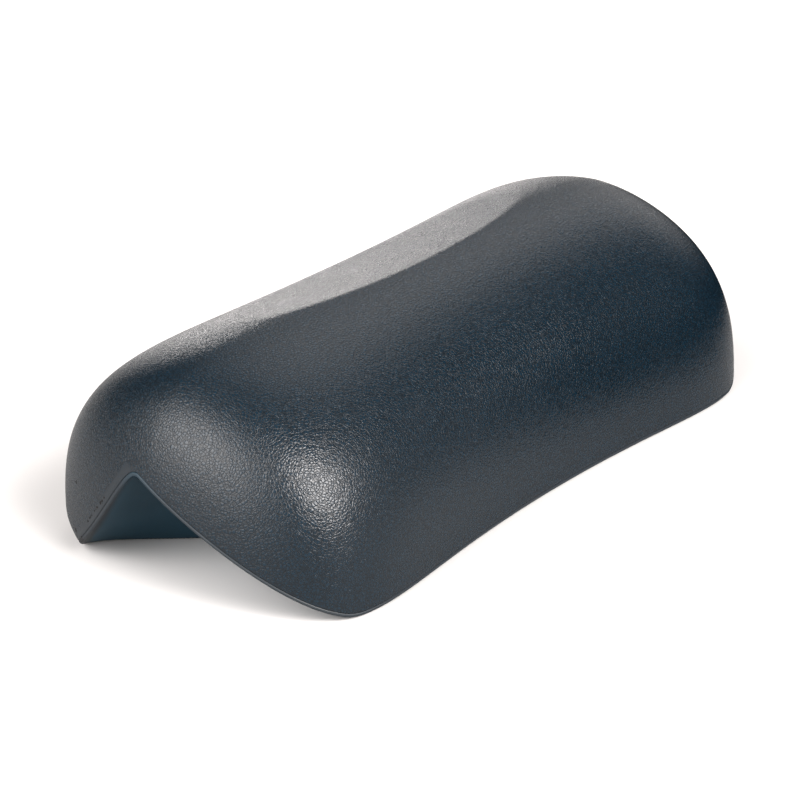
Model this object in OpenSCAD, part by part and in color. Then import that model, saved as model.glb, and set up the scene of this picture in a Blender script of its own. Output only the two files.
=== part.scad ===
// Moulded spa neck bolster of self-skinned foam: a saddle-topped block on a flat
// sole, with a V notch under each bulged end that is scooped out of the sole.
// Millimetres, +Z up, long axis along X. The origin is at the centre of the
// footprint, on the plane that the sole rests on; +Y is the side that the head
// rest slopes down to.

/* [Overall size] */
// Length over the two bulged ends
body_length = 303; // [240:1:360]
// Width of the outline that the waist is drawn in from
body_width = 168; // [150:1:190]
// Height of the two raised lobes before the head rest is cut
crown_height = 82.5; // [74:0.5:92]

/* [Plan outline] */
// Squareness of the rounded ends: a higher value gives squarer corners
end_squareness = 7.6; // [5:0.2:10]
// Curve of the outline towards each end: 2 is elliptical
side_power = 1.68; // [1.5:0.02:2.2]
// Share of the width that the waist draws in at the middle
waist_draw = 0.226; // [0:0.002:0.3]

/* [Cross-section] */
// Fullness of the walls: a higher value keeps them upright for longer
wall_fullness = 3.06; // [2.4:0.02:4.5]
// How far the crown lies behind the middle of the sole
crown_shift = 3; // [0:0.5:8]

// Share of its distance from the middle that the rear edge of the sole is tucked in
heel_tuck = 0.14; // [0:0.01:0.2]
// Height over which the rear wall curves in to that edge
heel_height = 12; // [6:1:20]

/* [Head rest] */
// Height of the dished head rest at the middle of the part
rest_height = 80.5; // [72:0.1:82]
// Radius of the shallow dish along the part
rest_radius = 1000; // [800:50:2000]
// Slope of the head rest down towards the rear, in degrees
rest_slope = 12; // [0:0.5:16]

/* [End notches] */
// Height of the rounded ridge of each notch, at its mouth
notch_height = 45; // [36:0.5:52]
// How far inwards each notch reaches along its ridge
notch_depth = 52; // [30:1:70]
// How far the ridge lies behind the middle of the sole
notch_shift = 7; // [0:0.5:12]
// Distance from the middle to the front corner of the mouth, before the waist
front_corner = 75; // [64:0.5:78]
// Distance from the middle to the rear corner of the mouth, before the waist
rear_corner = 53; // [48:0.5:70]
// How far the front wall bows into the notch, as a share of its height
front_wall_bow = -0.08; // [-0.2:0.02:0.4]
// How far the rear wall bows into the notch, as a share of its height
rear_wall_bow = 0.5; // [-0.2:0.02:0.6]
// Radius of the rounded ridge
ridge_radius = 3; // [1:0.5:8]

/* [Skins] */
// Thickness of the grained skin over the top and the sides
upper_skin_t = 2; // [1.2:0.2:3]
// Thickness of the smooth skin that covers the sole and lines the notches
lower_skin_t = 1.6; // [1.2:0.2:3]

/* [Hidden] */

// Angle steps of the outline: each side of an outline has this many chords.
side_steps = 40;
// Rings between the sole and the crown, and how much they crowd near the sole.
height_steps = 20;
ring_crowding = 1.25;
// Stations along each notch, and where the points of its walls lie, as shares of
// the way from the ridge to a corner.
notch_steps = 14;
wall_shares = [0.04, 0.1, 0.18, 0.3, 0.45, 0.6, 0.8, 1];
// How far past its depth a notch's stations run, and how far below the sole its
// surface is carried, so that it runs out cleanly.
run_out = 5;
// Share of its skin's thickness that a notch's lining is moved towards the end.
lining_shift = 0.6;
// Step for finding a slope.
small = 0.001;
// How far a cutter reaches past what it cuts.
clearance = 20;
// Share of the crown's height at which the top ring is closed.
top_ring = 0.9995;

function waist(x, half_length) = 1 + waist_draw * (pow(x / half_length, 2) - 1);

// One point of an outline: s runs from -90 at one end to 90 at the other, side is
// -1 on the front and 1 on the rear, and t is the share of the height.
function outline_point(s, side, t, half_length, half_width, height) =
    let (
        left = 1 - pow(t, wall_fullness),
        along = sin(s),
        across = pow(max(0, 1 - pow(abs(along), end_squareness)), 1 / side_power),
        x = half_length * along * pow(left, 1 / end_squareness),
        heel = side > 0 ? heel_tuck * pow(max(0, 1 - height * t / heel_height), 2) : 0,
        y = side * half_width * across * pow(left, 1 / side_power) * (1 - heel)
            + crown_shift * t * t
    )
    [x, y * waist(x, half_length), height * t];

function outline(t, half_length, half_width, height) = concat(
    [for (i = [0 : side_steps - 1])
        outline_point(-90 + 180 * i / side_steps, -1, t, half_length, half_width, height)],
    [for (i = [0 : side_steps - 1])
        outline_point(90 - 180 * i / side_steps, 1, t, half_length, half_width, height)]
);

// The whole block without its dish and notches, with its walls and crown drawn in
// from the outer surface by inset. Rings of outlines are closed by a flat foot and a
// small top.
module block(inset) {
    half_length = body_length / 2 - inset;
    half_width = body_width / 2 - inset;
    height = crown_height - inset;
    rings = [for (k = [0 : height_steps])
        top_ring * sin(90 * pow(k / height_steps, ring_crowding))];
    points = [for (t = rings) each outline(t, half_length, half_width, height)];
    ring = 2 * side_steps;
    last = height_steps * ring;
    walls = [for (k = [0 : height_steps - 1], i = [0 : ring - 1])
        let (
            a = k * ring + i,
            b = k * ring + (i + 1) % ring
        )
        each [[a, a + ring, b], [b, a + ring, b + ring]]];
    foot_face = [for (i = [0 : ring - 1]) i];
    top_face = [for (i = [ring - 1 : -1 : 0]) last + i];
    polyhedron(points, concat(walls, [foot_face, top_face]), convexity = 6);
}

// What is cut off above the head rest: a large cylinder across the part.
module rest_cutter(inset) {
    translate([0, 0, rest_height - inset])
        rotate([-rest_slope, 0, 0])
            translate([0, 0, rest_radius])
                rotate([90, 0, 0])
                    cylinder(r = rest_radius, h = 2 * body_width, center = true, $fn = 180);
}

// Height of a notch's wall at a share s of the way from the ridge to a corner. The
// ridge is rounded: soft is the share of the wall that its rounding takes.
function wall_height(s, bow, soft) =
    let (g = (sqrt(s * s + soft * soft) - soft) / (sqrt(1 + soft * soft) - soft))
    notch_height * (1 - g) * (1 - bow * g);

// One point of the notch's section at its mouth, moved outwards by skin, square to
// the wall. side is -1 at the front and 1 at the rear.
function notch_point(side, s, skin) =
    let (
        span = side < 0 ? front_corner + notch_shift : rear_corner - notch_shift,
        bow = side < 0 ? front_wall_bow : rear_wall_bow,
        soft = ridge_radius * notch_height * (1 + bow) / (span * span),
        fall = (wall_height(s - small, bow, soft) - wall_height(s + small, bow, soft)) / (2 * small),
        slope = atan2(fall, span)
    )
    [notch_shift + side * span * s, wall_height(s, bow, soft)]
        + skin * [side * sin(slope), cos(slope)];

function reversed(list) = [for (i = [len(list) - 1 : -1 : 0]) list[i]];

// The section of a notch from the rear to the front, down to just below the sole.
function notch_section(skin) =
    let (shares = concat(wall_shares, [1.2]))
    concat(
        reversed([for (s = shares) notch_point(1, s, skin)]),
        [notch_point(1, 0, skin)],
        [for (s = shares) notch_point(-1, s, skin)]
    );

// Distance from the middle to the end of the outline, at y from the long axis.
function end_reach(y) =
    body_length / 2
        * pow(max(0, 1 - pow(2 * abs(y) / body_width, side_power)), 1 / end_squareness);

// How far the surface of a notch has come down at a depth inside the end.
function scoop(depth) = notch_height * pow(max(0, depth) / notch_depth, 2);

// Everything below the surface of the notches, raised by skin, and below the height
// lowest between them. It narrows at the waist as the block does.
module below(skin, lowest) {
    half_length = body_length / 2;
    step = (notch_depth + run_out) / notch_steps;
    reaches = concat(
        [half_length + clearance],
        [for (k = [0 : notch_steps]) half_length - k * step]
    );
    stations = concat(-reaches, reversed(reaches));
    section = concat(
        [[body_width, -clearance], [body_width, lowest]],
        notch_section(skin),
        [[-body_width, lowest], [-body_width, -clearance]]
    );
    sides = len(section);
    points = [for (x = stations, p = section)
        let (
            depth = end_reach(p[0]) - abs(x) - lining_shift * skin,
            z = p[1] == -clearance ? -clearance : max(lowest, p[1] - scoop(depth))
        )
        [x, p[0] * waist(x, half_length), z]];
    walls = [for (k = [0 : len(stations) - 2], i = [0 : sides - 1])
        let (
            a = k * sides + i,
            b = k * sides + (i + 1) % sides
        )
        each [[a, a + sides, b], [b, a + sides, b + sides]]];
    near_face = [for (i = [0 : sides - 1]) i];
    far_face = [for (i = [sides - 1 : -1 : 0]) (len(stations) - 1) * sides + i];
    polyhedron(points, concat(walls, [near_face, far_face]), convexity = 4);
}

// The open space of both notches.
module notches() {
    below(0, -run_out);
}

// Everything below the parting face: the notches, their lining and the sole's skin.
module below_parting() {
    below(lower_skin_t, lower_skin_t);
}

module upper_skin() {
    color("darkslategray")
        difference() {
            block(0);
            rest_cutter(0);
            difference() {
                block(upper_skin_t);
                rest_cutter(upper_skin_t);
            }
            below_parting();
        }
}

module lower_skin() {
    color("midnightblue")
        difference() {
            intersection() {
                block(0);
                below_parting();
            }
            notches();
        }
}

module foam_core() {
    color("dimgray")
        difference() {
            block(upper_skin_t);
            rest_cutter(upper_skin_t);
            below_parting();
        }
}

upper_skin();
lower_skin();
foam_core();
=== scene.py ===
"""Looks of a moulded spa neck bolster: grained upper skin, smooth lower skin, foam core.

Lengths in the shape section are millimetres, as in the solid model, and become metres
when a mesh is made. Every piece rides on the one body, "root".
"""
import math

import bmesh
import bpy
import numpy as np
from mathutils import Matrix, Vector


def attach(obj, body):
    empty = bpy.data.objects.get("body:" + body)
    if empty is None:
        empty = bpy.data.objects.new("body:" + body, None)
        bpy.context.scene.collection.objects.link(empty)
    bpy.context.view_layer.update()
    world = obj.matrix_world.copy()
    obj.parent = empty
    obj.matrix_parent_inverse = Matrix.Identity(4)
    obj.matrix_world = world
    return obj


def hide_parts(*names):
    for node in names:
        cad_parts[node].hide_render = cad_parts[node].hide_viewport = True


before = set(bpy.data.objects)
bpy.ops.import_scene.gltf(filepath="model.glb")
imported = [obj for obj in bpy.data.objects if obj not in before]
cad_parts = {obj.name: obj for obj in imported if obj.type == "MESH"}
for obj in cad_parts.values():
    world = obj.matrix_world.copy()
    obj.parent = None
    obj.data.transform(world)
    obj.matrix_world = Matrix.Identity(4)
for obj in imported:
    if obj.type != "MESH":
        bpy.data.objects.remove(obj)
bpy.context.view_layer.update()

MM = 0.001

# ---------------------------------------------------------------- shape, in millimetres
HALF_LENGTH = 151.5
HALF_WIDTH = 84.0
CROWN_HEIGHT = 82.5
END_SQUARENESS = 7.6
SIDE_POWER = 1.68
WALL_FULLNESS = 3.06
WAIST_DRAW = 0.226
CROWN_SHIFT = 3.0
HEEL_TUCK = 0.14
HEEL_HEIGHT = 12.0

REST_HEIGHT = 80.5
REST_RADIUS = 1000.0
REST_SLOPE = math.radians(12)
REST_EDGE = 0.45         # softness of the crease round the head rest

NOTCH_HEIGHT = 45.0
NOTCH_DEPTH = 52.0
NOTCH_SHIFT = 7.0
FRONT_CORNER = 75.0
REAR_CORNER = 53.0
FRONT_WALL_BOW = -0.08
REAR_WALL_BOW = 0.5
RIDGE_RADIUS = 3.0
LINING_SHIFT = 0.6       # share of the skin's thickness, as in the solid model
SOLE_EDGE = 1.5          # softness of the edge between the sole and a notch

UPPER_SKIN = 2.0
LOWER_SKIN = 1.6
PARTING_ROUND = 0.4      # rounding on both sides of the parting line
RIM_ROUND = 1.1          # rounding of the lower edge and of the rim of each notch
RIM_STEPS = 5
LIP = 2.2                # width of the smooth band above the rim, with the lower skin
LIP_REAR = 3.0           # how much wider it is along the rear side of a notch
LIP_FADE = 0.7
LIP_REAR_FADE = 6.0      # distance behind the ridge over which it gets wider
LIP_NOTCH_FADE = 4.0     # height of the notch's mouth over which it does so
PAINTED_BOUNCE_FADE = 3.0        # depth over which the lining takes on its painted bounce light, a brighter blue

# Mesh density: points along each side, and levels from the parting line to the crown.
ALONG = 400
LEVELS = 130
INNER_LEVELS = 40
SOLE_COLUMNS = 150
CROWN_DENSITY = 2.0      # how much closer the levels lie on top than on the walls
CROWN_BAND = 32.0        # half-width of that closer band
TOP_RING = 0.9993        # share of the height at which the crown is closed
CURVE_STEPS = 6000       # samples for spacing the levels, and how much they crowd on top
CURVE_CROWDING = 2.5
OUTLINE_STEPS = 20001    # samples for spacing the points along the outline
HALVINGS = 40            # rounds of halving that find where two surfaces meet
LEVEL_LENGTH = 120.0     # a little under the length of the curve from level 0 to level 1
LEVEL_STEP = 0.01        # step in level for finding the way up a wall
TURN_MARGIN = 0.1        # how close to its ends a path over the underside may turn
HIGHEST_MEETING = 0.98   # level that the underside never reaches
HIGHEST_START = 0.99
CORNER_SHARE = 0.3       # where the middle of a rounding lies, from its sharp corner
SLOPE_STEP = 0.02        # step for finding a slope


def waist(x):
    """Share of the full width that is left at x."""
    return 1 + WAIST_DRAW * ((x / HALF_LENGTH) ** 2 - 1)


def smooth_lower(a, b, soft):
    """The lower of two heights, with their meeting edge rounded."""
    mix = np.clip(0.5 + 0.5 * (b - a) / soft, 0, 1)
    return b * (1 - mix) + a * mix - soft * mix * (1 - mix)


def smooth_higher(a, b, soft):
    return -smooth_lower(-a, -b, soft)


def block_point(along, side, t, inset):
    """A point of the block drawn in by inset: along is -1 to 1 from end to end, side is
    -1 on the front and 1 on the rear, t is the share of the height."""
    length, width, height = HALF_LENGTH - inset, HALF_WIDTH - inset, CROWN_HEIGHT - inset
    left = np.clip(1 - t ** WALL_FULLNESS, 0, 1)
    across = np.clip(1 - np.abs(along) ** END_SQUARENESS, 0, 1) ** (1 / SIDE_POWER)
    heel = np.where(side > 0, HEEL_TUCK * np.clip(1 - height * t / HEEL_HEIGHT, 0, 1) ** 2, 0)
    x = length * along * left ** (1 / END_SQUARENESS)
    y = side * width * across * left ** (1 / SIDE_POWER) * (1 - heel) + CROWN_SHIFT * t * t
    y = y * waist(x)
    rest = REST_HEIGHT - inset + x * x / (2 * REST_RADIUS) - math.tan(REST_SLOPE) * y
    z = smooth_lower(height * t, rest, REST_EDGE)
    return np.stack([x, y, z], -1)


def level_curve(inset):
    """Shares of the height at even steps up the middle of a wall, closer on top."""
    u = np.linspace(0, 1, CURVE_STEPS)
    t = TOP_RING * (1 - (1 - u) ** CURVE_CROWDING)
    left = 1 - t ** WALL_FULLNESS
    y = (HALF_WIDTH - inset) * left ** (1 / SIDE_POWER)
    z = (CROWN_HEIGHT - inset) * t
    step = np.hypot(np.diff(y), np.diff(z))
    step = step * np.where(y[1:] < CROWN_BAND, CROWN_DENSITY, 1)
    reach = np.concatenate([[0], np.cumsum(step)])
    return reach / reach[-1], t


def end_reach(y):
    """Distance from the middle to the end of the outline, at y before the waist."""
    left = np.clip(1 - np.abs(y / HALF_WIDTH) ** SIDE_POWER, 0, 1)
    return HALF_LENGTH * left ** (1 / END_SQUARENESS)


def notch_wall(y):
    """Height of a notch's section at its mouth."""
    front = y < NOTCH_SHIFT
    span = np.where(front, FRONT_CORNER + NOTCH_SHIFT, REAR_CORNER - NOTCH_SHIFT)
    bow = np.where(front, FRONT_WALL_BOW, REAR_WALL_BOW)
    soft = RIDGE_RADIUS * NOTCH_HEIGHT * (1 + bow) / span ** 2
    s = np.abs(y - NOTCH_SHIFT) / span
    g = (np.sqrt(s * s + soft * soft) - soft) / (np.sqrt(1 + soft * soft) - soft)
    return NOTCH_HEIGHT * (1 - g) * (1 - bow * g)


def notch_slope(y):
    """Slope of a notch's section at its mouth."""
    return (notch_wall(y + SLOPE_STEP) - notch_wall(y - SLOPE_STEP)) / (2 * SLOPE_STEP)


def underside(x, y, lift):
    """Height of the sole and the notches at x, and at y before the waist, raised by lift."""
    depth = np.clip(end_reach(y) - np.abs(x) - LINING_SHIFT * lift, 0, None)
    scoop = NOTCH_HEIGHT * (depth / NOTCH_DEPTH) ** 2
    raised = notch_wall(y) + lift * np.sqrt(1 + notch_slope(y) ** 2) - scoop
    return smooth_higher(raised, np.full_like(raised, lift), SOLE_EDGE)


def ring_points():
    """A ring's points: the front from end to end, then the rear back again, evenly along
    the outline."""
    angle = np.linspace(-np.pi / 2, np.pi / 2, OUTLINE_STEPS)
    outline = block_point(np.sin(angle), -1.0, np.zeros_like(angle), 0)
    reach = np.concatenate([[0], np.cumsum(np.linalg.norm(np.diff(outline, axis=0), axis=1))])
    along = np.sin(np.interp(np.linspace(0, reach[-1], ALONG + 1), reach, angle))
    along[0], along[-1] = -1, 1
    both = np.concatenate([along, along[-2:0:-1]])
    side = np.concatenate([-np.ones(ALONG + 1), np.ones(ALONG - 1)])
    return both, side


RING_ALONG, RING_SIDE = ring_points()
RING = len(RING_ALONG)
CURVES = {inset: level_curve(inset) for inset in (0, UPPER_SKIN)}


def block_at(level, inset):
    """Rings of the block at a level from 0 at the bottom of a wall to 1 at the crown."""
    reach, t = CURVES[inset]
    return block_point(RING_ALONG, RING_SIDE, np.interp(level, reach, t), inset)


def meeting_level(inset, lift):
    """Level at which the block meets the underside raised by lift, ring by ring."""
    low, high = np.zeros(RING), np.full(RING, HIGHEST_MEETING)
    for _ in range(HALVINGS):
        level = (low + high) / 2
        p = block_at(level, inset)
        under = p[:, 2] < underside(p[:, 0], p[:, 1] / waist(p[:, 0]), lift)
        low, high = np.where(under, level, low), np.where(under, high, level)
    return high


def unit(v):
    return v / np.maximum(np.linalg.norm(v, axis=-1, keepdims=True), 1e-9)


def underside_path(start, end, lift, columns):
    """Points over the underside from start to end, row by row. A row has half its points
    on each side of the ridge, or of a turn near its end where it doesn't cross the ridge."""
    y0 = start[:, 1] / waist(start[:, 0])
    y1 = end[:, 1] / waist(end[:, 0])
    span = np.where(np.abs(y1 - y0) < 1e-6, 1e-6, y1 - y0)
    turn = y0 + span * np.clip((NOTCH_SHIFT - y0) / span, TURN_MARGIN, 1 - TURN_MARGIN)
    share = np.linspace(0, 1, columns)[None, :]
    first = np.clip(share * 2, 0, 1)
    second = np.clip(share * 2 - 1, 0, 1)
    y = y0[:, None] + (turn - y0)[:, None] * first + (y1 - turn)[:, None] * second
    x_share = (y - y0[:, None]) / span[:, None]
    x = start[:, 0][:, None] + (end[:, 0] - start[:, 0])[:, None] * x_share
    return np.stack([x, y * waist(x), underside(x, y, lift)], -1)


# Where the block, drawn in or not, meets the underside, raised or not.
RIM_LEVEL = meeting_level(0, 0)
PART_LEVEL = meeting_level(0, LOWER_SKIN)
INNER_LEVEL = meeting_level(UPPER_SKIN, LOWER_SKIN)
RIM = block_at(RIM_LEVEL, 0)
PART = block_at(PART_LEVEL, 0)
INNER = block_at(INNER_LEVEL, UPPER_SKIN)
FRONT_ROWS = np.arange(ALONG + 1)
REAR_ROWS = (RING - FRONT_ROWS) % RING
UPWARD = unit(block_at(RIM_LEVEL + LEVEL_STEP, 0) - RIM)


def inward_directions():
    """Unit vectors from the rim inwards over the underside, square to the rim."""
    step = 0.05
    x, y = RIM[:, 0], RIM[:, 1]

    def height(x, y):
        return underside(x, y / waist(x), 0)

    rise_x = (height(x + step, y) - height(x - step, y)) / (2 * step)
    rise_y = (height(x, y + step) - height(x, y - step)) / (2 * step)
    normal = np.stack([-rise_x, -rise_y, np.ones(RING)], -1)
    tangent = np.roll(RIM, -1, axis=0) - np.roll(RIM, 1, axis=0)
    return unit(np.cross(normal, tangent))


INWARD = inward_directions()


# ---------------------------------------------------------------- meshes
WELD = 0.00001           # metres within which two points become one
SLIVER = 0.000001        # metres below which an edge is dissolved


def mesh_piece(name, grids):
    """A closed mesh from grids of points in millimetres, each with whether its last column
    joins its first, and with the rows whose ring is capped, front to rear."""
    points, faces, offset = [], [], 0
    for grid, closed, capped_rows in grids:
        rows, columns = grid.shape[:2]
        points.append(grid.reshape(-1, 3))
        index = offset + np.arange(rows * columns).reshape(rows, columns)
        wide = np.concatenate([index, index[:, :1]], 1) if closed else index
        quads = np.stack([wide[:-1, :-1], wide[:-1, 1:], wide[1:, 1:], wide[1:, :-1]], -1)
        faces.append(quads.reshape(-1, 4))
        for row in capped_rows:
            ring = index[row]
            front, rear = ring[FRONT_ROWS], ring[REAR_ROWS]
            faces.append(np.stack([front[:-1], front[1:], rear[1:], rear[:-1]], -1))
        offset += rows * columns
    mesh = bpy.data.meshes.new(name)
    mesh.from_pydata((np.concatenate(points) * MM).tolist(), [], np.concatenate(faces).tolist())
    work = bmesh.new()
    work.from_mesh(mesh)
    bmesh.ops.remove_doubles(work, verts=work.verts, dist=WELD)
    bmesh.ops.dissolve_degenerate(work, edges=work.edges, dist=SLIVER)
    bmesh.ops.recalc_face_normals(work, faces=work.faces)
    work.to_mesh(mesh)
    work.free()
    mesh.shade_smooth()
    piece = bpy.data.objects.new(name, mesh)
    bpy.context.scene.collection.objects.link(piece)
    return piece


def levels_up(start, inset, count):
    """Rings of the block from the levels in start up to the crown."""
    share = np.linspace(0, 1, count)[:, None]
    return block_at(start[None, :] + (1 - start[None, :]) * share, inset)


def make_upper_skin():
    outer_start = np.minimum(PART_LEVEL + PARTING_ROUND / LEVEL_LENGTH, HIGHEST_START)
    outer = levels_up(outer_start, 0, LEVELS)
    inner = levels_up(INNER_LEVEL, UPPER_SKIN, INNER_LEVELS)
    inset_in = PARTING_ROUND * INWARD
    inset_up = PARTING_ROUND * UPWARD
    edge = np.stack([PART + inset_in, PART + CORNER_SHARE * (inset_in + inset_up)])
    grid = np.concatenate([inner[::-1], edge, outer])
    return mesh_piece("upper_skin_grained", [(grid, True, (0, -1))])


def make_lower_skin():
    inset_in = PARTING_ROUND * INWARD
    inset_down = -PARTING_ROUND * UPWARD
    corner = PART + CORNER_SHARE * (inset_in + inset_down)
    edge = [INNER, PART + inset_in, corner, PART + inset_down]
    for k in range(RIM_STEPS):
        turn = math.pi / 2 * k / RIM_STEPS
        outwards = INWARD * (1 - math.cos(turn)) + UPWARD * (1 - math.sin(turn))
        edge.append(RIM + RIM_ROUND * outwards)
    front = np.stack([p[FRONT_ROWS] for p in edge], 1)
    rear = np.stack([p[REAR_ROWS] for p in reversed(edge)], 1)
    start = RIM + RIM_ROUND * INWARD
    sole = underside_path(start[FRONT_ROWS], start[REAR_ROWS], 0, SOLE_COLUMNS)
    back = underside_path(INNER[REAR_ROWS], INNER[FRONT_ROWS], LOWER_SKIN, INNER_LEVELS)
    grid = np.concatenate([front, sole, rear, back[:, 1:-1]], 1)
    return mesh_piece("lower_skin_smooth", [(grid, True, ())])


def make_foam_core():
    dome = levels_up(INNER_LEVEL, UPPER_SKIN, INNER_LEVELS * 2)
    under = underside_path(INNER[FRONT_ROWS], INNER[REAR_ROWS], LOWER_SKIN, INNER_LEVELS * 2)
    return mesh_piece("foam_core_moulded", [(dome, True, (-1,)), (under, False, ())])


# ---------------------------------------------------------------- materials
class Nodes:
    """Short calls for building a shader."""

    def __init__(self, name):
        self.material = bpy.data.materials.new(name)
        self.material.use_nodes = True
        self.tree = self.material.node_tree
        self.shader = self.tree.nodes["Principled BSDF"]

    def add(self, kind, inputs=None, **settings):
        node = self.tree.nodes.new(kind)
        for key, value in settings.items():
            setattr(node, key, value)
        for key, value in (inputs or {}).items():
            if isinstance(value, bpy.types.NodeSocket):
                self.tree.links.new(value, node.inputs[key])
            else:
                node.inputs[key].default_value = value
        return node

    def math(self, operation, a, b=None, clamp=False):
        inputs = {0: a} if b is None else {0: a, 1: b}
        return self.add("ShaderNodeMath", inputs, operation=operation, use_clamp=clamp).outputs[0]

    def ramp(self, value, low, high, start, end):
        inputs = {"Value": value, "From Min": low, "From Max": high, "To Min": start, "To Max": end}
        return self.add("ShaderNodeMapRange", inputs, clamp=True).outputs["Result"]

    def mix(self, share, a, b):
        node = self.add("ShaderNodeMix", data_type="RGBA")
        for socket, value in ((node.inputs[0], share), (node.inputs[6], a), (node.inputs[7], b)):
            if isinstance(value, bpy.types.NodeSocket):
                self.tree.links.new(value, socket)
            else:
                socket.default_value = value
        return node.outputs[2]

    def noise(self, where, scale, detail=2.0, roughness=0.5):
        inputs = {"Vector": where, "Scale": scale, "Detail": detail, "Roughness": roughness}
        return self.add("ShaderNodeTexNoise", inputs).outputs["Fac"]

    def place(self):
        return self.add("ShaderNodeTexCoord").outputs["Object"]

    def wobbled(self, where, scale, amount):
        """Object coordinates pushed about by noise, so that cells don't look regular."""
        inputs = {"Vector": where, "Scale": scale, "Detail": 2.0}
        colour = self.add("ShaderNodeTexNoise", inputs).outputs["Color"]
        centred = self.add("ShaderNodeVectorMath", {0: colour, 1: (0.5, 0.5, 0.5)},
                           operation="SUBTRACT").outputs[0]
        push = self.add("ShaderNodeVectorMath", {0: centred, "Scale": amount},
                        operation="SCALE").outputs[0]
        return self.add("ShaderNodeVectorMath", {0: where, 1: push}, operation="ADD").outputs[0]

    def cells(self, where, scale, feature):
        inputs = {"Vector": where, "Scale": scale}
        node = self.add("ShaderNodeTexVoronoi", inputs, feature=feature)
        return node.outputs["Distance"]

    def bump(self, height, strength, distance):
        inputs = {"Height": height, "Strength": strength, "Distance": distance}
        return self.add("ShaderNodeBump", inputs).outputs["Normal"]

    def painted(self, name):
        """A value stored on the piece's vertices by paint()."""
        return self.add("ShaderNodeAttribute", attribute_name=name).outputs["Fac"]

    def nicks(self, here):
        """1 on the ragged trim nicks beside the parting line, 0 elsewhere."""
        ragged = self.wobbled(here, NICK_WOBBLE_SCALE, NICK_WOBBLE)
        total = 0.0
        for x, y, z, radius in NICKS:
            centre = (x * MM, y * MM, z * MM)
            away = self.add("ShaderNodeVectorMath", {0: ragged, 1: centre},
                            operation="DISTANCE").outputs["Value"]
            mark = self.ramp(away, NICK_CORE * radius * MM, radius * MM, 1.0, 0.0)
            total = self.math("MAXIMUM", mark, total)
        return total

    def finish(self, colour, roughness, normal):
        self.tree.links.new(colour, self.shader.inputs["Base Color"])
        self.tree.links.new(roughness, self.shader.inputs["Roughness"])
        self.tree.links.new(normal, self.shader.inputs["Normal"])
        return self.material


# Linear colours.
SLATE = (0.0028, 0.0140, 0.0255, 1)
SLATE_WORN = (0.0036, 0.0150, 0.0268, 1)
# Paler grey for the smooth band and the rim: a painted sheen, standing in for light on the rounded
# edge.
SLATE_PAINTED_SHEEN = (0.0180, 0.0240, 0.0300, 1)
# Brighter blue: in the foam's cells it is the foam's colour; inside the notches it is painted
# bounce light, standing in for light in their shade.
NAVY = (0.0160, 0.0600, 0.0920, 1)
BLACK = (0.0010, 0.0015, 0.0020, 1)
FOAM = (0.035, 0.040, 0.045, 1)
SKIN_IOR = 1.5

# Lengths in the rest of this section are metres, unless a comment says otherwise, and
# noise scales are cells per metre.
GRAIN_PITCH = 0.00110    # from one pebble of the leather grain to the next
GRAIN_HEIGHT = 0.00013   # height of the whole grain
GRAIN_BEND = 0.0011      # how far noise pushes the pebbles about
GRAIN_BEND_SCALE = 420.0
PEBBLE_EDGE = 0.32       # distance from a valley at which a pebble is at its full height
PEBBLE_POWER = 0.6       # below 1, the pebbles are rounded
PEBBLE_SHARE = 0.55      # shares of the pebbles, wrinkles and pores in the grain's height
WRINKLE_SHARE = 0.9
PORE_SHARE = 0.12
PATCH_SCALE = 60.0       # of the faint patches where the skin is worn
LIP_GRAIN = 0.1          # share of the grain that the smooth band keeps
LIP_SHEEN_SHARE = 0.6           # how far the band's painted sheen, and the painted shade in the valleys, show
VALLEY_PAINTED_SHADE = 0.7

NICK_DEPTH = 2.0         # in grain heights
NICK_ROUGHNESS = 0.5
NICK_CORE = 0.6          # share of a nick's radius that is fully dark
NICK_WOBBLE = 0.0014
NICK_WOBBLE_SCALE = 700.0

SMOOTH_HEIGHT = 0.00003  # height of the lower skin's fine unevenness
FINE_SHARE = 0.25
PIT_RADIUS = 0.09        # as a share of the spacing of the pits
FLOW_TINT = 0.4

FOAM_CELLS = 1100.0      # cells per metre, of the large and the small ones
FOAM_PORES = 2600.0
FOAM_HEIGHT = 0.0004     # depth of a cut cell


def trim_nicks():
    """Centres and radii of the trim nicks by the near rear corner, in millimetres: a
    broken line beside the parting line, two torn places at the corner and two specks."""
    random = np.random.default_rng(7)
    low, high = np.array((-145.8, 35.5, 18.0)), np.array((-147.9, 23.5, 32.0))
    line = [(*(low + (high - low) * share), random.uniform(0.3, 0.8))
            for share in np.sort(random.uniform(0, 1, 24))]
    torn = [(-143, 42.3, 6.5, 1.9), (-144, 41, 8.5, 1.2)]
    specks = [(-142, 46, 10, 1.0), (-142, 44, 30, 0.8)]
    return line + torn + specks


NICKS = trim_nicks()


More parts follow.
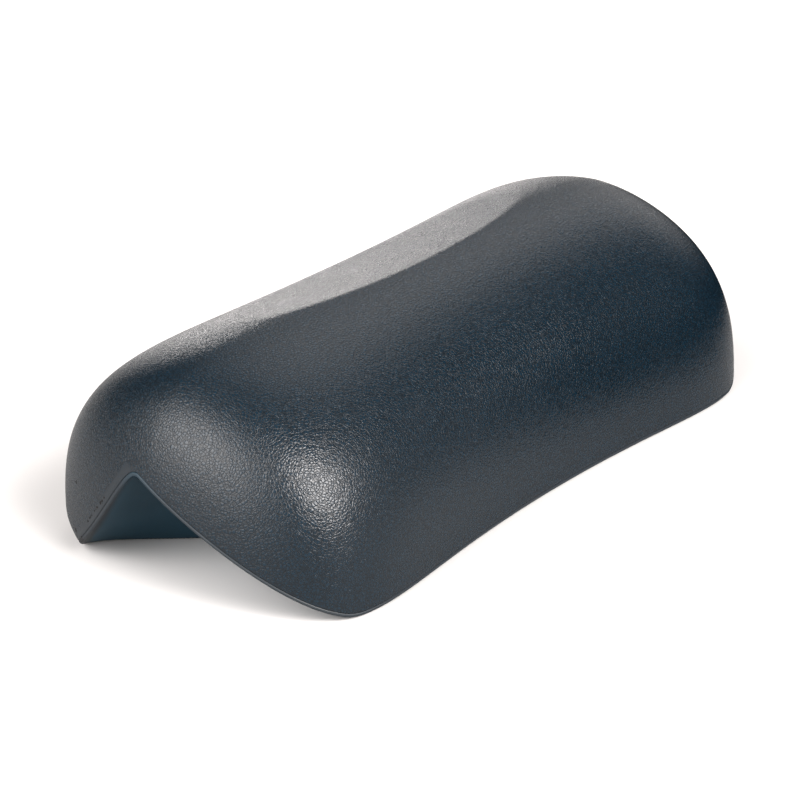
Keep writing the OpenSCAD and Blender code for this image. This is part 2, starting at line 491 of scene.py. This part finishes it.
def grained_skin():
    """Moulded leather grain: rounded pebbles between fine valleys, with wrinkles and pores; painted
    shade darkens the valleys and a painted sheen lightens the smooth band above the rim.
    """
    n = Nodes("grained_polyurethane_skin")
    here = n.place()
    bent = n.wobbled(here, GRAIN_BEND_SCALE, GRAIN_BEND)
    edge = n.cells(bent, 1 / GRAIN_PITCH, "DISTANCE_TO_EDGE")
    pebble = n.math("POWER", n.ramp(edge, 0.0, PEBBLE_EDGE, 0.0, 1.0), PEBBLE_POWER)
    wrinkle = n.noise(bent, 0.9 / GRAIN_PITCH, 3.0, 0.55)
    pores = n.noise(here, 3.4 / GRAIN_PITCH)
    patch = n.noise(here, PATCH_SCALE)
    lip_sheen = n.painted("lip_sheen")
    nicks = n.nicks(here)

    height = n.math("ADD", n.math("MULTIPLY", pebble, PEBBLE_SHARE),
                    n.math("MULTIPLY", wrinkle, WRINKLE_SHARE))
    height = n.math("ADD", height, n.math("MULTIPLY", pores, PORE_SHARE))
    height = n.math("MULTIPLY", height, n.ramp(lip_sheen, 0.0, 1.0, 1.0, LIP_GRAIN))
    height = n.math("SUBTRACT", height, n.math("MULTIPLY", nicks, NICK_DEPTH))

    colour = n.mix(n.ramp(patch, 0.35, 0.7, 0.0, 1.0), SLATE, SLATE_WORN)
    # Painted shade: the grain's valleys are darkened towards black, as shade would fall in them.
    top = n.math("MULTIPLY", pebble, wrinkle)
    colour = n.mix(n.ramp(top, 0.15, 0.5, VALLEY_PAINTED_SHADE, 0.0), colour, BLACK)
    # Painted sheen: the smooth band above the rim is mixed towards a paler grey.
    colour = n.mix(n.math("MULTIPLY", lip_sheen, LIP_SHEEN_SHARE), colour, SLATE_PAINTED_SHEEN)
    colour = n.mix(nicks, colour, BLACK)

    roughness = n.math(
        "ADD", n.ramp(patch, 0.3, 0.7, 0.24, 0.26), n.ramp(pebble, 0.0, 1.0, 0.06, 0.0)
    )
    roughness = n.math("ADD", roughness, n.math("MULTIPLY", lip_sheen, 0.1))
    roughness = n.math("ADD", roughness, n.math("MULTIPLY", nicks, NICK_ROUGHNESS), clamp=True)
    n.shader.inputs["IOR"].default_value = SKIN_IOR
    return n.finish(colour, roughness, n.bump(height, 1.0, GRAIN_HEIGHT))


def smooth_skin():
    """The lower mould half is plain: a satin skin with flow marks and small pits, with a painted
    sheen along the rim and painted bounce light inside the notches.
    """
    n = Nodes("smooth_polyurethane_skin")
    here = n.place()
    flow = n.noise(here, 18.0, 3.0, 0.6)
    fine = n.noise(here, 900.0)
    pits = n.ramp(n.cells(here, 160.0, "F1"), 0.0, PIT_RADIUS, 0.0, 1.0)
    height = n.math("ADD", n.math("MULTIPLY", fine, FINE_SHARE), pits)
    marks = n.math("MULTIPLY", n.ramp(flow, 0.35, 0.7, 0.0, 1.0), FLOW_TINT)
    # Painted light: a paler grey along the rim for its sheen, going over to a brighter blue a
    # little way in for the bounce light inside the notches.
    colour = n.mix(n.painted("inside"), SLATE_PAINTED_SHEEN, NAVY)
    colour = n.mix(marks, colour, SLATE)
    colour = n.mix(n.nicks(here), colour, BLACK)
    roughness = n.ramp(flow, 0.3, 0.7, 0.45, 0.55)
    n.shader.inputs["IOR"].default_value = SKIN_IOR
    return n.finish(colour, roughness, n.bump(height, 1.0, SMOOTH_HEIGHT))


def open_foam():
    """Cut foam: small round cells of two sizes."""
    n = Nodes("moulded_polyurethane_foam")
    here = n.place()
    bent = n.wobbled(here, 500.0, 0.0006)
    large = n.ramp(n.cells(bent, FOAM_CELLS, "F1"), 0.0, 0.6, 0.0, 1.0)
    small = n.ramp(n.cells(here, FOAM_PORES, "F1"), 0.0, 0.6, 0.0, 1.0)
    height = n.math("ADD", large, n.math("MULTIPLY", small, 0.4))
    tone = n.noise(here, 40.0)
    colour = n.mix(n.math("MULTIPLY", large, n.ramp(tone, 0.3, 0.7, 0.7, 1.0)), NAVY, FOAM)
    roughness = n.ramp(tone, 0.3, 0.7, 0.85, 0.95)
    return n.finish(colour, roughness, n.bump(height, 0.6, FOAM_HEIGHT))


def dress(piece, node, material):
    """Give a piece its material and body, and hide the node whose place it takes."""
    piece.data.materials.append(material)
    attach(piece, "root")
    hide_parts(node)
    return piece


def paint(piece, name, rule):
    """Store rule(x, y, z) on every vertex, with y taken before the waist."""
    place = np.empty(3 * len(piece.data.vertices))
    piece.data.vertices.foreach_get("co", place)
    x, y, z = place.reshape(-1, 3).T / MM
    layer = piece.data.attributes.new(name, "FLOAT", "POINT")
    layer.data.foreach_set("value", rule(x, y / waist(x), z).astype(np.float32))


def lip_sheen_share(x, y, z):
    """1 on the smooth band just above the rim, 0 on the grain: the band is wider along the rear
    side of each notch. The band is smoother, and it also carries a painted sheen."""
    edge = underside(x, y, 0)
    in_notch = np.clip(edge / LIP_NOTCH_FADE, 0, 1)
    above = (z - edge) / np.sqrt(1 + in_notch * notch_slope(y) ** 2)
    rear = np.clip((y - NOTCH_SHIFT) / LIP_REAR_FADE, 0, 1)
    width = LIP + LIP_REAR * in_notch * rear
    return np.clip((width - above) / LIP_FADE, 0, 1)


def inside_share(x, y, z):
    """0 along the outline of the underside, rising to 1 a little way in: there the rim's painted
    sheen gives way to painted bounce light.
    """
    left = np.clip(1 - np.abs(x / HALF_LENGTH) ** END_SQUARENESS, 0, 1) ** (1 / SIDE_POWER)
    side_reach = HALF_WIDTH * left * np.where(y > 0, 1 - HEEL_TUCK, 1)
    depth = np.minimum(end_reach(y) - np.abs(x), side_reach - np.abs(y))
    return np.clip((depth - LIP) / PAINTED_BOUNCE_FADE, 0, 1)


upper_skin = dress(make_upper_skin(), "upper_skin", grained_skin())
lower_skin = dress(make_lower_skin(), "lower_skin", smooth_skin())
foam_core = dress(make_foam_core(), "foam_core", open_foam())
paint(upper_skin, "lip_sheen", lip_sheen_share)
paint(lower_skin, "inside", inside_share)


# ---------------------------------------------------------------- studio
def direction(azimuth, elevation):
    """Unit vector: azimuth in degrees from +Y towards +X, elevation above the horizon."""
    a, e = math.radians(azimuth), math.radians(elevation)
    return Vector((math.sin(a) * math.cos(e), math.cos(a) * math.cos(e), math.sin(e)))


# How pale the floor is where the camera sees it, and for the light that it reflects.
FLOOR_SEEN = 0.74
FLOOR_REFLECTED = 0.36
FLOOR_SIZE = 30
FLOOR_DROP = 0.0002      # just below the sole, so that the two don't flicker


def floor():
    bpy.ops.mesh.primitive_plane_add(size=FLOOR_SIZE, location=(0, 0, -FLOOR_DROP))
    plane = bpy.context.object
    plane.name = "studio_floor"
    material = bpy.data.materials.new("pale_floor")
    material.use_nodes = True
    tree = material.node_tree
    shader = tree.nodes["Principled BSDF"]
    tone = tree.nodes.new("ShaderNodeMapRange")
    tone.inputs["To Min"].default_value = FLOOR_REFLECTED
    tone.inputs["To Max"].default_value = FLOOR_SEEN
    tree.links.new(tree.nodes.new("ShaderNodeLightPath").outputs["Is Camera Ray"], tone.inputs[0])
    tree.links.new(tone.outputs["Result"], shader.inputs["Base Color"])
    shader.inputs["Roughness"].default_value = 0.7
    shader.inputs["Specular IOR Level"].default_value = 0.2
    plane.data.materials.append(material)


# Soft lights of the studio: azimuth, elevation, strength and tightness of each glow.
# A glow falls to half its strength about 67 / sqrt(tightness) degrees from its middle.
GLOWS = {
    "end softbox": (-70, 40, 8.6, 14),
    "front softbox": (184, 37, 33, 36),
    "bright backdrop": (42, -4, 16, 100),
    "back softbox": (66, 48, 1.6, 20),
    "front fill": (146, 22, 0.7, 9),
    "end fill": (-88, 3, 2.3, 7),
    "right fill": (74, 19, 1.8, 45),
}
ROOM_LIGHT = 0.05
LIGHT_COLOUR = (1.0, 0.955, 0.93, 1)
BACKDROP_SEEN = 1.1      # strength of the white backdrop that the camera sees

# What the camera looks at, near the middle of the bolster.
MIDDLE = Vector((0, 0, 0.04))


def surroundings():
    """A dim room with the studio's glows in it; the camera sees a white backdrop."""
    world = bpy.data.worlds.new("studio")
    bpy.context.scene.world = world
    world.use_nodes = True
    tree = world.node_tree
    here = tree.nodes.new("ShaderNodeTexCoord").outputs["Generated"]

    def math_node(operation, a, b):
        node = tree.nodes.new("ShaderNodeMath")
        node.operation = operation
        for socket, value in zip(node.inputs, (a, b)):
            if isinstance(value, bpy.types.NodeSocket):
                tree.links.new(value, socket)
            else:
                socket.default_value = value
        return node.outputs[0]

    total = ROOM_LIGHT
    for azimuth, elevation, strength, tightness in GLOWS.values():
        facing = tree.nodes.new("ShaderNodeVectorMath")
        facing.operation = "DOT_PRODUCT"
        facing.inputs[1].default_value = direction(azimuth, elevation)
        tree.links.new(here, facing.inputs[0])
        away = math_node("MULTIPLY", math_node("SUBTRACT", facing.outputs["Value"], 1), tightness)
        glow = math_node("MULTIPLY", math_node("POWER", math.e, away), strength)
        total = math_node("ADD", glow, total)
    lit = tree.nodes["Background"]
    lit.inputs["Color"].default_value = LIGHT_COLOUR
    tree.links.new(total, lit.inputs["Strength"])
    white = tree.nodes.new("ShaderNodeBackground")
    white.inputs["Color"].default_value = (1, 1, 1, 1)
    white.inputs["Strength"].default_value = BACKDROP_SEEN
    seen = tree.nodes.new("ShaderNodeLightPath").outputs["Is Camera Ray"]
    mix = tree.nodes.new("ShaderNodeMixShader")
    for socket, value in zip(mix.inputs, (seen, lit.outputs[0], white.outputs[0])):
        tree.links.new(value, socket)
    tree.links.new(mix.outputs[0], tree.nodes["World Output"].inputs["Surface"])


def camera():
    """The camera looks down on one end and the front, from about 1.1 m. It is turned a
    little about its own axis, and its lens is shifted."""
    azimuth, elevation, roll, distance = 50.2, 23.5, math.radians(1.86), 1.1007
    ahead = -direction(azimuth + 180, elevation)
    right = Vector((math.cos(math.radians(azimuth)), -math.sin(math.radians(azimuth)), 0))
    up = right.cross(ahead)
    turned_right = right * math.cos(roll) - up * math.sin(roll)
    turned_up = right * math.sin(roll) + up * math.cos(roll)
    lens = bpy.data.cameras.new("camera")
    lens.lens = 127.25
    lens.sensor_width = 36
    lens.shift_x = -0.0178
    lens.shift_y = -0.053
    eye = bpy.data.objects.new("camera", lens)
    bpy.context.scene.collection.objects.link(eye)
    axes = Matrix((turned_right, turned_up, -ahead)).transposed()
    eye.matrix_world = Matrix.Translation(MIDDLE - ahead * distance) @ axes.to_4x4()
    bpy.context.scene.camera = eye


UPRIGHT = math.radians(90)


def black_card(name, centre, size, turn):
    """A black card that shows only in reflections, as a studio flag would."""
    bpy.ops.mesh.primitive_plane_add(size=1, location=centre, rotation=turn)
    card = bpy.context.object
    card.name = name
    card.scale = (*size, 1)
    material = bpy.data.materials.new(name)
    material.use_nodes = True
    shader = material.node_tree.nodes["Principled BSDF"]
    shader.inputs["Base Color"].default_value = (0, 0, 0, 1)
    shader.inputs["Specular IOR Level"].default_value = 0
    card.data.materials.append(material)
    card.visible_camera = False
    card.visible_diffuse = False
    card.visible_shadow = False


floor()
surroundings()
black_card("front_card", (0.15, -0.112, 0.12), (0.212, 0.24), (UPRIGHT, 0, 0.1))
black_card("right_card", (0.235, -0.02, 0.033), (0.16, 0.066), (UPRIGHT, 0, UPRIGHT))
black_card("top_card", (0.33, -0.09, 0.256), (0.20, 0.24), (0, 0, 0))
camera()
bpy.context.scene.view_settings.view_transform = "Standard"
